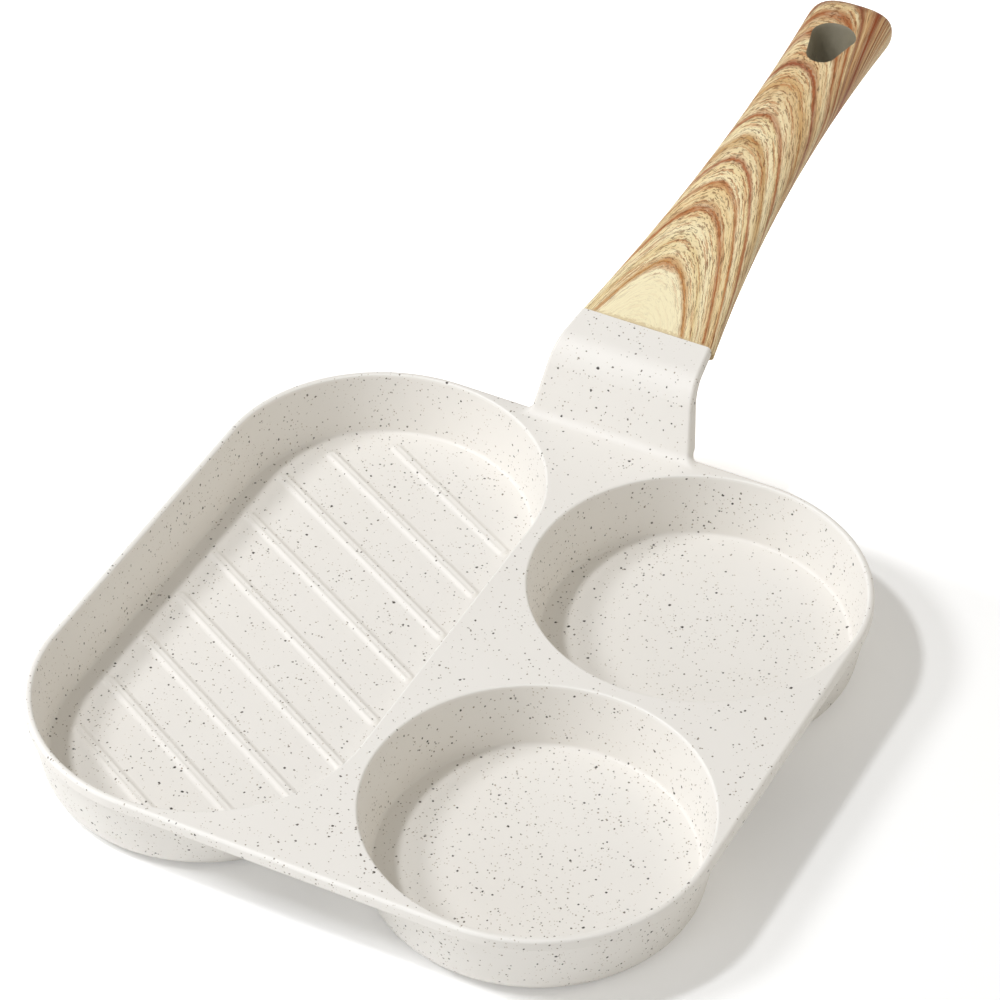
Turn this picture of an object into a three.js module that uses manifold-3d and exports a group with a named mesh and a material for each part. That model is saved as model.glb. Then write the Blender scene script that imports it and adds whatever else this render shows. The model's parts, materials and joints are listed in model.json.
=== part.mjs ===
// Divided breakfast pan: a cast aluminium deck with one long grill well and two round egg wells,
// a neck cast in one piece with the deck, and a moulded handle that a screw holds on the neck's tang.
// Millimetres, +Z up. The handle points along +Y, the grill well lies on the -X side, the egg wells on +X.
// The origin is under the middle of the whole object, on the plane that it stands on.

import * as THREE from 'three';
import { mergeVertices } from 'three/addons/utils/BufferGeometryUtils.js';
import Module from 'manifold-3d';

const radians = THREE.MathUtils.degToRad;

// Wells and deck
const WELL_RADIUS = 47.6;
const WELL_DEPTH = 19.2;
const WALL_DRAFT = radians(10);
const WALL = 1.9;
const FLOOR = 4.8;
const FLOOR_FILLET = 1.2;
const BASE_FILLET = 6;
const LIP_ROUND = 0.7;
const WEB = 4.8;
const RIM = 1.9;
const DECK = 3.9;
const DECK_EDGE_ROUND = 1.1;

// Grill ribs
const RIB_HEIGHT = 0.8;
const RIB_TOP_WIDTH = 1.6;
const RIB_FOOT_WIDTH = 4.2;
const RIB_SPACING = 17.4;
const RIB_ANGLE = radians(-29);
const RIB_SHIFT = -2;
const RIB_END_GAP = 4.2;
const RIB_ROOT = 0.4;

// Neck, from the deck's rear edge up and back to the handle
const NECK_SETBACK = 2.6;
const NECK_LEAN = radians(71);
const NECK_RISE = 21.5;
const NECK_BEND_RADIUS = 11.6;
const NECK_REACH = 16;
const NECK_FOOT_WIDTH = 50.6;
const NECK_END_WIDTH = 41.4;
const NECK_FOOT_THICKNESS = 4.4;
const NECK_END_THICKNESS = 4;
const NECK_EDGE_ROUND = 1.2;
const NECK_FOOT_FILLET = 2.2;

// Handle
const GRIP_LENGTH = 153;
const GRIP_SLOPE_FRONT = radians(10.2);
const GRIP_SLOPE_TAIL = radians(5.4);
const GRIP_FRONT_WIDTH = 42.8;
const GRIP_MIDDLE_WIDTH = 26;
const GRIP_TAIL_WIDTH = 28.4;
const GRIP_FRONT_THICKNESS = 7.2;
const GRIP_MIDDLE_THICKNESS = 11.6;
const GRIP_TAIL_THICKNESS = 13.2;
const GRIP_FRONT_SQUARENESS = 3.2;
const GRIP_TAIL_SQUARENESS = 2.6;
const GRIP_TAIL_ROUND = 11.5;
const GRIP_TAIL_FULLNESS = 3.2;
const GRIP_PROUD = 0.2;

// Hang hole, a rounded wedge that widens towards the tail
const HOLE_WIDE_RADIUS = 6.8;
const HOLE_NARROW_RADIUS = 4.3;
const HOLE_SPREAD = 6.8;
const HOLE_TAIL_LAND = 15;

// Tang inside the handle
const TANG_LENGTH = 70;
const TANG_FRONT_WIDTH = 26;
const TANG_END_WIDTH = 14;
const TANG_THICKNESS = 2.6;
const TANG_LIFT = 0.8;
const TANG_ROOT = 5;

// Screw and washer, fitted from the handle's underside into the tang
const SCREW_DIAMETER = 4;
const SCREW_TANG_LAND = 10;
const HEAD_DIAMETER = 7.4;
const HEAD_HEIGHT = 2;
const HEAD_RECESS = 0.2;
const SLOT_WIDTH = 1.2;
const SLOT_DEPTH = 1.1;
const WASHER_DIAMETER = 7;
const WASHER_THICKNESS = 0.8;
const WASHER_SPLIT = 0.8;

// Clearance between pieces, and how far a cutting shape runs past what it cuts
const FIT = 0.3;
const PAST = 2;

// Facets
const ROUND_SEGMENTS = 48;
const SMALL_SEGMENTS = 20;
const FILLET_STEPS = 4;
const SECTION_POINTS = 24;

// Places that follow from the sizes
const deckTop = FLOOR + WELL_DEPTH;
const pitch = 2 * WELL_RADIUS + WEB;
const deckCorner = WELL_RADIUS + RIM;
const deckEdge = pitch / 2 + deckCorner;
const draft = Math.tan(WALL_DRAFT);

const wasm = await Module();
wasm.setup();

// Six times the volume that a triangle list closes in; negative where its faces point inwards
function signedVolume(points, triangles) {
  let sum = 0;
  const [a, b, c] = [new THREE.Vector3(), new THREE.Vector3(), new THREE.Vector3()];
  for (let i = 0; i < triangles.length; i += 3) {
    a.fromArray(points, 3 * triangles[i]);
    b.fromArray(points, 3 * triangles[i + 1]);
    c.fromArray(points, 3 * triangles[i + 2]);
    sum += a.dot(b.cross(c));
  }
  return sum;
}

// A closed geometry as a solid that can be joined and cut
function solid(geometry) {
  const bare = geometry.clone();
  bare.deleteAttribute('normal');
  bare.deleteAttribute('uv');
  const merged = mergeVertices(bare, 1e-4);
  const points = merged.attributes.position.array;
  const triangles = [];
  for (let i = 0; i < merged.index.count; i += 3) {
    const [a, b, c] = merged.index.array.slice(i, i + 3);
    if (a !== b && b !== c && c !== a) triangles.push(a, b, c);
  }
  if (signedVolume(points, triangles) < 0) triangles.reverse();
  const mesh = new wasm.Mesh({
    numProp: 3,
    vertProperties: new Float32Array(points),
    triVerts: new Uint32Array(triangles),
  });
  return new wasm.Manifold(mesh);
}

// A solid turned back into a geometry
function geometryOf(body) {
  const mesh = body.getMesh();
  const geometry = new THREE.BufferGeometry();
  geometry.setAttribute('position', new THREE.BufferAttribute(mesh.vertProperties, 3));
  geometry.setIndex(new THREE.BufferAttribute(mesh.triVerts, 1));
  geometry.computeVertexNormals();
  return geometry;
}

function part(name, body, material) {
  const mesh = new THREE.Mesh(geometryOf(body), new THREE.MeshStandardMaterial(material));
  mesh.name = name;
  return mesh;
}

// A profile of (radius, height) points turned about the vertical axis
function turned(profile, segments) {
  return new THREE.LatheGeometry(profile, segments).rotateX(Math.PI / 2);
}

// A straight round bar along +Z, from one height to another
function bar(diameter, from, to) {
  const ends = [new THREE.Vector2(0, from), new THREE.Vector2(diameter / 2, from)];
  ends.push(new THREE.Vector2(diameter / 2, to), new THREE.Vector2(0, to));
  return turned(ends, SMALL_SEGMENTS);
}

// A skin through rings that all have as many points, closed at both ends
function loft(rings) {
  const count = rings[0].length;
  const points = rings.flat();
  const faces = [];
  for (let r = 0; r + 1 < rings.length; r += 1) {
    for (let i = 0; i < count; i += 1) {
      const a = r * count + i;
      const b = r * count + (i + 1) % count;
      faces.push(a, b, a + count, b, b + count, a + count);
    }
  }
  const last = (rings.length - 1) * count;
  for (let i = 1; i + 1 < count; i += 1) {
    faces.push(0, i + 1, i);
    faces.push(last, last + i, last + i + 1);
  }
  return new THREE.BufferGeometry().setFromPoints(points).setIndex(faces);
}

// Points on an arc of a circle in the plane of a profile
function arc(x, y, radius, from, to, steps = FILLET_STEPS) {
  const points = [];
  for (let i = 0; i <= steps; i += 1) {
    const angle = from + (to - from) * i / steps;
    points.push(new THREE.Vector2(x + radius * Math.cos(angle), y + radius * Math.sin(angle)));
  }
  return points;
}

// Wells: a drafted wall that meets its floor in a fillet, from the axis outwards and up

function wallRadius(atDeck, height) {
  return atDeck - (deckTop - height) * draft;
}

function cupFoot(atDeck, floorHeight, fillet) {
  const height = floorHeight + fillet;
  const centre = wallRadius(atDeck, height) - fillet / Math.cos(WALL_DRAFT);
  return [
    new THREE.Vector2(0, floorHeight),
    ...arc(centre, height, fillet, -Math.PI / 2, -WALL_DRAFT),
  ];
}

function outerProfile() {
  const atDeck = WELL_RADIUS + WALL;
  const top = deckTop - DECK / 2;
  return [
    ...cupFoot(atDeck, 0, BASE_FILLET),
    new THREE.Vector2(wallRadius(atDeck, top), top),
    new THREE.Vector2(0, top),
  ];
}

function wellProfile() {
  const lipHeight = deckTop - LIP_ROUND;
  const lip = wallRadius(WELL_RADIUS, lipHeight) + LIP_ROUND / Math.cos(WALL_DRAFT);
  return [
    ...cupFoot(WELL_RADIUS, FLOOR, FLOOR_FILLET),
    ...arc(lip, lipHeight, LIP_ROUND, Math.PI - WALL_DRAFT, Math.PI / 2, 2),
    new THREE.Vector2(lip, deckTop + PAST),
    new THREE.Vector2(0, deckTop + PAST),
  ];
}

// The same profile at an egg well's two places, and drawn out along the grill well
function threeWells(profile) {
  const round = turned(profile, ROUND_SEGMENTS);
  const half = pitch / 2;
  const places = [[half, half], [half, -half], [-half, half], [-half, -half]];
  const ends = places.map(([x, y]) => solid(round.clone().translate(x, y, 0)));
  const mirrored = profile.slice(1, -1).reverse().map((p) => new THREE.Vector2(-p.x, p.y));
  const section = new THREE.Shape([...profile.slice(1, -1), ...mirrored]);
  const trough = new THREE.ExtrudeGeometry(section, { depth: pitch, bevelEnabled: false });
  trough.rotateX(Math.PI / 2).translate(-half, half, 0);
  return ends.reduce((sum, end) => sum.add(end), solid(trough));
}

function deckPlate() {
  const flat = deckEdge - deckCorner;
  const outline = new THREE.Shape();
  outline.absarc(flat, flat, deckCorner, 0, Math.PI / 2);
  outline.absarc(-flat, flat, deckCorner, Math.PI / 2, Math.PI);
  outline.absarc(-flat, -flat, deckCorner, Math.PI, 1.5 * Math.PI);
  outline.absarc(flat, -flat, deckCorner, 1.5 * Math.PI, 2 * Math.PI);
  const plate = new THREE.ExtrudeGeometry(outline, {
    depth: DECK - 2 * DECK_EDGE_ROUND,
    bevelThickness: DECK_EDGE_ROUND,
    bevelSize: DECK_EDGE_ROUND,
    bevelOffset: -DECK_EDGE_ROUND,
    bevelSegments: 2,
    curveSegments: ROUND_SEGMENTS / 4,
  });
  return plate.translate(0, 0, deckTop - DECK + DECK_EDGE_ROUND);
}

// How far a line in the grill floor runs inside a round-ended outline, before and after its foot point
function chord(foot, along, radius) {
  const half = pitch / 2;
  const reach = [];
  for (const centre of [half, -half]) {
    const away = new THREE.Vector2(foot.x, foot.y - centre);
    const middle = -away.dot(along);
    const spare = radius ** 2 - away.lengthSq() + middle ** 2;
    if (spare > 0) reach.push(middle - Math.sqrt(spare), middle + Math.sqrt(spare));
  }
  for (const side of [-radius, radius]) {
    const step = (side - foot.x) / along.x;
    if (Math.abs(foot.y + step * along.y) <= half) reach.push(step);
  }
  return reach.length ? [Math.min(...reach), Math.max(...reach)] : null;
}

// Slanting ribs on the grill floor, as many as the floor has room for
function grillRibs() {
  const along = new THREE.Vector2(Math.cos(RIB_ANGLE), Math.sin(RIB_ANGLE));
  const across = new THREE.Vector2(-along.y, along.x);
  const floorRadius = cupFoot(WELL_RADIUS, FLOOR, FLOOR_FILLET)[1].x;
  const slope = (RIB_FOOT_WIDTH - RIB_TOP_WIDTH) / 2;
  const count = Math.ceil((pitch / 2 + floorRadius) / RIB_SPACING);
  const ribs = [];
  for (let i = -count; i <= count; i += 1) {
    const foot = across.clone().multiplyScalar(i * RIB_SPACING + RIB_SHIFT);
    const ends = chord(foot, along, floorRadius - RIB_END_GAP - RIB_FOOT_WIDTH / 2);
    if (!ends || ends[1] - ends[0] < 2 * RIB_FOOT_WIDTH) continue;
    const outline = new THREE.Shape();
    outline.absarc(ends[1], 0, RIB_TOP_WIDTH / 2, -Math.PI / 2, Math.PI / 2);
    outline.absarc(ends[0], 0, RIB_TOP_WIDTH / 2, Math.PI / 2, 1.5 * Math.PI);
    const rib = new THREE.ExtrudeGeometry(outline, {
      depth: RIB_ROOT,
      bevelThickness: RIB_HEIGHT,
      bevelSize: slope,
      bevelSegments: 2,
      curveSegments: 5,
    });
    rib.rotateZ(RIB_ANGLE).translate(foot.x - pitch / 2, foot.y, FLOOR - RIB_ROOT);
    ribs.push(solid(rib));
  }
  return ribs;
}

// Neck: a flat strap that flares into the deck's rear edge, climbs, bends back and ends square to the handle

const turn = NECK_LEAN - GRIP_SLOPE_FRONT;
const bendLength = NECK_BEND_RADIUS * Math.tan(turn / 2);
const neckFoot = new THREE.Vector2(deckEdge - NECK_SETBACK, deckTop);
const neckCorner = new THREE.Vector2(neckFoot.x + NECK_RISE / Math.tan(NECK_LEAN), deckTop + NECK_RISE);
const neckEnd = ahead(neckCorner, GRIP_SLOPE_FRONT, NECK_REACH);

function ahead(point, slope, distance) {
  return new THREE.Vector2(point.x + distance * Math.cos(slope), point.y + distance * Math.sin(slope));
}

function above(point, slope, distance) {
  return ahead(point, slope + Math.PI / 2, distance);
}

// A round-cornered section square to a path in the plane x = 0, hung below a point on its upper face
function strapSection(top, slope, width, thickness) {
  const ring = [];
  const round = NECK_EDGE_ROUND;
  const corners = [[1, 0, 0], [-1, 0, 1], [-1, 1, 2], [1, 1, 3]];
  for (const [side, low, quarter] of corners) {
    const x = side * (width / 2 - round);
    const depth = low ? thickness - round : round;
    for (const p of arc(x, -depth, round, quarter * Math.PI / 2, (quarter + 1) * Math.PI / 2, 2)) {
      const place = above(top, slope, p.y);
      ring.push(new THREE.Vector3(p.x, place.x, place.y));
    }
  }
  return ring;
}

// The strap's foot, in level sections: a root inside the deck, then the fillet on its front and sides
function neckFootSections() {
  const upright = Math.PI / 2;
  const fillet = NECK_FOOT_FILLET;
  const thickness = NECK_FOOT_THICKNESS / Math.sin(NECK_LEAN);
  const root = new THREE.Vector2(neckFoot.x - fillet, deckTop - DECK + DECK_EDGE_ROUND);
  const rootThickness = NECK_SETBACK + fillet - FIT;
  const sections = [strapSection(root, upright, NECK_FOOT_WIDTH + 2 * fillet, rootThickness)];
  for (const share of [0, 0.25, 0.55, 1]) {
    const flare = fillet * (1 - Math.sqrt(1 - (1 - share) ** 2));
    const face = ahead(neckFoot, NECK_LEAN, share * fillet / Math.sin(NECK_LEAN));
    const top = above(face, upright, flare);
    sections.push(strapSection(top, upright, NECK_FOOT_WIDTH + 2 * flare, thickness + flare));
  }
  return sections;
}

function neckStrap() {
  const bendStart = ahead(neckCorner, NECK_LEAN, -bendLength);
  const centre = above(bendStart, NECK_LEAN, -NECK_BEND_RADIUS);
  const stations = [];
  for (let i = 0; i <= FILLET_STEPS; i += 1) {
    const slope = NECK_LEAN - turn * i / FILLET_STEPS;
    stations.push([above(centre, slope, NECK_BEND_RADIUS), slope]);
  }
  stations.push([neckEnd, GRIP_SLOPE_FRONT]);
  const lengths = stations.map(([point], i) => point.distanceTo(i ? stations[i - 1][0] : neckFoot));
  const total = lengths.reduce((sum, length) => sum + length, 0);
  let run = 0;
  const sections = stations.map(([point, slope], i) => {
    run += lengths[i];
    const width = THREE.MathUtils.lerp(NECK_FOOT_WIDTH, NECK_END_WIDTH, run / total);
    const thickness = THREE.MathUtils.lerp(NECK_FOOT_THICKNESS, NECK_END_THICKNESS, run / total);
    return strapSection(point, slope, width, thickness);
  });
  return loft([...neckFootSections(), ...sections]);
}

// Handle: its middle line is one shallow arc in the plane x = 0

const gripStart = above(
  ahead(neckEnd, GRIP_SLOPE_FRONT, FIT),
  GRIP_SLOPE_FRONT,
  GRIP_PROUD - GRIP_FRONT_THICKNESS / 2,
);
const gripBend = GRIP_LENGTH / (GRIP_SLOPE_FRONT - GRIP_SLOPE_TAIL);

function gripSlope(distance) {
  return GRIP_SLOPE_FRONT - distance / gripBend;
}

function gripLine(distance) {
  const slope = gripSlope(distance);
  return new THREE.Vector2(
    gripStart.x + gripBend * (Math.sin(GRIP_SLOPE_FRONT) - Math.sin(slope)),
    gripStart.y + gripBend * (Math.cos(slope) - Math.cos(GRIP_SLOPE_FRONT)),
  );
}

// A size that runs smoothly from the handle's front through its middle to its tail
function alongGrip(front, middle, tail, share) {
  return front * (1 - share) * (1 - 2 * share)
    + middle * 4 * share * (1 - share)
    + tail * share * (2 * share - 1);
}

function gripWidth(share) {
  return alongGrip(GRIP_FRONT_WIDTH, GRIP_MIDDLE_WIDTH, GRIP_TAIL_WIDTH, share);
}

function gripThickness(share) {
  return alongGrip(GRIP_FRONT_THICKNESS, GRIP_MIDDLE_THICKNESS, GRIP_TAIL_THICKNESS, share);
}

// An oval section of the handle, squarer at the neck than at the tail, drawn in over the rounded tail
function gripSection(distance) {
  const share = distance / GRIP_LENGTH;
  const into = Math.max(0, 1 - (GRIP_LENGTH - distance) / GRIP_TAIL_ROUND);
  const width = gripWidth(share) * (1 - into ** GRIP_TAIL_FULLNESS) ** (1 / GRIP_TAIL_FULLNESS);
  const thickness = gripThickness(share) * Math.sqrt(1 - into ** 4);
  const power = 2 / THREE.MathUtils.lerp(GRIP_FRONT_SQUARENESS, GRIP_TAIL_SQUARENESS, share);
  const ring = [];
  for (let i = 0; i < SECTION_POINTS; i += 1) {
    const angle = 2 * Math.PI * i / SECTION_POINTS;
    const x = Math.sign(Math.cos(angle)) * Math.abs(Math.cos(angle)) ** power * width / 2;
    const z = Math.sign(Math.sin(angle)) * Math.abs(Math.sin(angle)) ** power * thickness / 2;
    const place = above(gripLine(distance), gripSlope(distance), z);
    ring.push(new THREE.Vector3(x, place.x, place.y));
  }
  return ring;
}

function gripForm() {
  const distances = [];
  const straight = GRIP_LENGTH - GRIP_TAIL_ROUND;
  const steps = 12;
  for (let i = 0; i <= steps; i += 1) distances.push(straight * i / steps);
  for (const share of [0.3, 0.5, 0.68, 0.82, 0.92, 0.98]) distances.push(straight + GRIP_TAIL_ROUND * share);
  return loft(distances.map(gripSection));
}

// Tang: a straight tapered blade. It and the screw are drawn about its middle plane, with +Y along it

const tangSlope = gripSlope(TANG_LENGTH / 2);
const tangStart = above(gripStart, GRIP_SLOPE_FRONT, TANG_LIFT);

function ontoTang(geometry) {
  return geometry.rotateX(tangSlope).translate(0, tangStart.x, tangStart.y);
}

function tongue(spare) {
  const front = TANG_FRONT_WIDTH / 2 + spare;
  const end = TANG_END_WIDTH / 2 + spare;
  const outline = new THREE.Shape([
    new THREE.Vector2(-front, -TANG_ROOT),
    new THREE.Vector2(front, -TANG_ROOT),
    new THREE.Vector2(front, 0),
    new THREE.Vector2(end, TANG_LENGTH + spare),
    new THREE.Vector2(-end, TANG_LENGTH + spare),
    new THREE.Vector2(-front, 0),
  ]);
  const depth = TANG_THICKNESS + 2 * spare;
  const plate = new THREE.ExtrudeGeometry(outline, { depth, bevelEnabled: false });
  return ontoTang(plate.translate(0, 0, -depth / 2));
}

// Heights of the screw's stack, upwards from the handle's underside
const screwAt = TANG_LENGTH - SCREW_TANG_LAND;
const underside = -TANG_LIFT - gripThickness(screwAt / GRIP_LENGTH) / 2;
const headLow = underside + HEAD_RECESS;
const headHigh = headLow + HEAD_HEIGHT;
const washerLow = headHigh + FIT;
const seat = washerLow + WASHER_THICKNESS + FIT;
const screwTip = TANG_THICKNESS / 2;

// Moves what is modelled about +Z onto the screw's line
function ontoScrew(geometry) {
  return ontoTang(geometry.translate(0, screwAt, 0));
}

function panBody() {
  const screwHole = bar(SCREW_DIAMETER + 2 * FIT, underside, screwTip + PAST);
  let body = solid(deckPlate()).add(threeWells(outerProfile()));
  body = body.add(solid(neckStrap())).add(solid(tongue(0)));
  body = body.subtract(threeWells(wellProfile())).subtract(solid(ontoScrew(screwHole)));
  return grillRibs().reduce((sum, rib) => sum.add(rib), body);
}

function hangHole() {
  const outline = new THREE.Shape();
  const lean = Math.asin((HOLE_WIDE_RADIUS - HOLE_NARROW_RADIUS) / HOLE_SPREAD);
  outline.absarc(0, HOLE_SPREAD, HOLE_WIDE_RADIUS, -lean, Math.PI + lean);
  outline.absarc(0, 0, HOLE_NARROW_RADIUS, Math.PI + lean, 2 * Math.PI - lean);
  const depth = GRIP_TAIL_THICKNESS + 2 * PAST;
  const curveSegments = SMALL_SEGMENTS / 2;
  const plug = new THREE.ExtrudeGeometry(outline, { depth, bevelEnabled: false, curveSegments });
  const narrow = GRIP_LENGTH - HOLE_TAIL_LAND - HOLE_WIDE_RADIUS - HOLE_SPREAD;
  const place = gripLine(narrow);
  return plug.translate(0, 0, -depth / 2).rotateX(gripSlope(narrow)).translate(0, place.x, place.y);
}

function gripBody() {
  const headHole = bar(HEAD_DIAMETER + 2 * FIT, underside - PAST, seat);
  const shankHole = bar(SCREW_DIAMETER + 2 * FIT, underside, 0);
  let body = solid(gripForm()).subtract(solid(hangHole())).subtract(solid(tongue(FIT)));
  body = body.subtract(solid(ontoScrew(headHole)));
  return body.subtract(solid(ontoScrew(shankHole)));
}

function screwBody() {
  const slot = new THREE.BoxGeometry(HEAD_DIAMETER + PAST, SLOT_WIDTH, 2 * SLOT_DEPTH);
  const head = solid(ontoScrew(bar(HEAD_DIAMETER, headLow, headHigh)));
  const shank = solid(ontoScrew(bar(SCREW_DIAMETER, headLow + SLOT_DEPTH, screwTip)));
  return head.add(shank).subtract(solid(ontoScrew(slot.translate(0, 0, headLow))));
}

// A ring split on one side, so that it springs
function washerBody() {
  const split = new THREE.BoxGeometry(WASHER_SPLIT, WASHER_DIAMETER, WASHER_THICKNESS + PAST);
  split.translate(0, WASHER_DIAMETER / 2, washerLow + WASHER_THICKNESS / 2);
  const disc = solid(ontoScrew(bar(WASHER_DIAMETER, washerLow, washerLow + WASHER_THICKNESS)));
  const bore = solid(ontoScrew(bar(SCREW_DIAMETER + 2 * FIT, washerLow - PAST, seat + PAST)));
  return disc.subtract(bore).subtract(solid(ontoScrew(split)));
}

const speckledCoat = { color: '#e9e6e1', roughness: 0.45, metalness: 0 };
const woodGrainFilm = { color: '#e0bf8d', roughness: 0.5, metalness: 0 };
const zincedSteel = { color: '#b9bcc0', roughness: 0.35, metalness: 1 };

const pan = new THREE.Group();
pan.add(part('pan_body', panBody(), speckledCoat));
pan.add(part('handle_grip', gripBody(), woodGrainFilm));
pan.add(part('handle_screw', screwBody(), zincedSteel));
pan.add(part('spring_washer', washerBody(), zincedSteel));

// The origin goes under the middle of the footprint
const middle = new THREE.Box3().setFromObject(pan).getCenter(new THREE.Vector3());
pan.position.set(-middle.x, -middle.y, 0);

export default pan;
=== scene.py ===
# Divided breakfast pan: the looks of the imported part, in its own frame, in metres.

import json
import math

import bmesh
import bpy
from mathutils import Matrix, Vector

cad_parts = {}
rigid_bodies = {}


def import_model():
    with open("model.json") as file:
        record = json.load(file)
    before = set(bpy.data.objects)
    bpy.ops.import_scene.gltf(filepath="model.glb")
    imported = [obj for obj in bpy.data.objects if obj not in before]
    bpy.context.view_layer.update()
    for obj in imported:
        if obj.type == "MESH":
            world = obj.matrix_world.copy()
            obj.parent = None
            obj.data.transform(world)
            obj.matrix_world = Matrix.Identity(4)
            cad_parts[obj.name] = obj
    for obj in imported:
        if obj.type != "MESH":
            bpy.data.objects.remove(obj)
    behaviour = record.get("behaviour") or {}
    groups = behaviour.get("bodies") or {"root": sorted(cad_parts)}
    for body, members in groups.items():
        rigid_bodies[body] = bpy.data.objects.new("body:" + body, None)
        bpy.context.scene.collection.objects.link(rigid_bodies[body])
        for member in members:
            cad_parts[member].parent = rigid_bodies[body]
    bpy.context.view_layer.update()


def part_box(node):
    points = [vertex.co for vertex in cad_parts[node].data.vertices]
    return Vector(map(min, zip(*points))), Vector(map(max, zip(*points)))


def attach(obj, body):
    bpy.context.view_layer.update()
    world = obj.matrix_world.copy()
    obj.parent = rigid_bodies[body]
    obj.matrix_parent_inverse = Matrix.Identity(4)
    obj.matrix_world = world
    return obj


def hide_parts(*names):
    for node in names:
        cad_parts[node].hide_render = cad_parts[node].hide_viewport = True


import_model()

# Pan casting: deck, long grill well, two egg wells and neck, die-cast in one piece of aluminium with
# drafted walls and rounded lips, then sprayed all over with a speckled ceramic coat.
# The wells are profiles carried round their outlines; the flats between them are filled in.

MM = 0.001
deck_top = 24 * MM
deck_thickness = 3.9 * MM
well_pitch = 100 * MM
well_radius = 47.6 * MM
wall_thickness = 1.9 * MM
draft_degrees = 10
wall_draft = math.radians(draft_degrees)
well_floor = 4.8 * MM
floor_fillet = 1.2 * MM
base_fillet = 6 * MM
lip_round = 0.7 * MM
deck_edge = 49.5 * MM
deck_upper_round = 1.1 * MM
deck_lower_round = 0.35 * MM
flat_strip = 0.05 * MM
floor_strip = 2.5 * MM
weld = 0.01 * MM
pan_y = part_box("pan_body")[0].y + well_pitch / 2 + deck_edge

grill_ends = [(-well_pitch / 2, pan_y + well_pitch / 2), (-well_pitch / 2, pan_y - well_pitch / 2)]
rear_egg = [(well_pitch / 2, pan_y + well_pitch / 2)]
front_egg = [(well_pitch / 2, pan_y - well_pitch / 2)]
deck_corners = [*rear_egg, *grill_ends, *front_egg]


def new_piece(name):
    """An empty mesh object at the origin, open in edit mode with nothing else selected."""
    bpy.ops.object.select_all(action="DESELECT")
    bpy.ops.mesh.primitive_plane_add()
    piece = bpy.context.object
    piece.name = piece.data.name = name
    bpy.ops.object.mode_set(mode="EDIT")
    bpy.ops.mesh.delete(type="VERT")
    return piece


def pick(piece, wanted):
    """Selects, in edit mode, just the vertices that pass the test, and what they span."""
    bpy.ops.mesh.select_mode(type="VERT")
    mesh = bmesh.from_edit_mesh(piece.data)
    for v in mesh.verts:
        v.select = wanted(v)
    mesh.select_flush_mode()
    bmesh.update_edit_mesh(piece.data)


def draw(points):
    """One open line of edges through the points, left selected."""
    bpy.ops.mesh.select_all(action="DESELECT")
    bpy.ops.mesh.primitive_plane_add(size=MM, location=points[0])
    bpy.ops.mesh.merge(type="CENTER")
    for before, after in zip(points, points[1:]):
        step = Vector(after) - Vector(before)
        bpy.ops.mesh.extrude_region_move(TRANSFORM_OT_translate={"value": step})
    bpy.ops.mesh.select_linked()


def sweep(profile, stops, steps=192):
    """Carries a (radius, height) profile round an outline: an arc about each stop, then straight on."""
    turn = 2 * math.pi / len(stops)
    draw([(stops[0][0] + r, stops[0][1], z) for r, z in profile])
    for i, (x, y) in enumerate(stops):
        bpy.ops.mesh.spin(steps=steps // len(stops), angle=turn, center=(x, y, 0), axis=(0, 0, -1))
        onward = stops[(i + 1) % len(stops)]
        if len(stops) > 1:
            step = (onward[0] - x, onward[1] - y, 0)
            bpy.ops.mesh.extrude_region_move(TRANSFORM_OT_translate={"value": step})


def arc(x, z, radius, start, end, steps):
    """Points of a profile on an arc, angles in degrees."""
    angles = [math.radians(start + (end - start) * i / steps) for i in range(steps + 1)]
    return [(x + radius * math.cos(a), z + radius * math.sin(a)) for a in angles]


def wall_at(radius, height):
    """A drafted wall's radius at a height, from its radius at the deck's top."""
    return radius - (deck_top - height) * math.tan(wall_draft)


def well_foot(radius, height, fillet):
    """The edge of a well's flat, and the fillet that turns up into its wall."""
    centre = wall_at(radius, height + fillet) - fillet / math.cos(wall_draft)
    flat = [(centre - floor_strip, height)]
    return flat + arc(centre, height + fillet, fillet, -90, -draft_degrees, steps=8)


lip = wall_at(well_radius, deck_top - lip_round) + lip_round / math.cos(wall_draft)
inside = well_foot(well_radius, well_floor, floor_fillet)
inside += arc(lip, deck_top - lip_round, lip_round, 180 - draft_degrees, 90, steps=6)
inside.append((lip + flat_strip, deck_top))
underside = deck_top - deck_thickness
outside = well_foot(well_radius + wall_thickness, 0, base_fillet)
outside.append((wall_at(well_radius + wall_thickness, underside), underside))
upper, lower = deck_edge - deck_upper_round, deck_edge - deck_lower_round
rim = [(upper - flat_strip, deck_top)]
rim += arc(upper, deck_top - deck_upper_round, deck_upper_round, 90, 0, steps=6)
rim += arc(lower, underside + deck_lower_round, deck_lower_round, 0, -90, steps=4)

pan_casting = new_piece("pan_casting")
for stops in (grill_ends, rear_egg, front_egg):
    sweep(inside, stops)
    sweep(outside, stops)
sweep(rim, deck_corners)
bpy.ops.mesh.select_all(action="SELECT")
bpy.ops.mesh.remove_doubles(threshold=weld)

# The ribs slant across the grill floor, as many as it has room for. Each is a round-ended strip,
# raised in small insets: a soft foot, two crests and a shallow channel between them.

rib_spacing = 17.4 * MM
rib_shift = -2 * MM
rib_half_width = 2.6 * MM
shortest_rib = 4 * rib_half_width
rib_end_gap = 6.75 * MM
rib_turn = math.radians(-29)
ribs_each_way = 6
# Each inset: how far in from the last edge and how far up, in millimetres
rib_insets = [(0.5, 0.07), (0.4, 0.15), (0.35, 0.21), (0.3, 0.17), (0.2, 0.06), (0.2, 0.02), (0.2, -0.03),
              (0.25, -0.05)]
along = Vector((math.cos(rib_turn), math.sin(rib_turn), 0))
across = Vector((-along.y, along.x, 0))
grill_middle = Vector((-well_pitch / 2, pan_y, well_floor))
floor_reach = inside[1][0] - rib_end_gap


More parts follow.
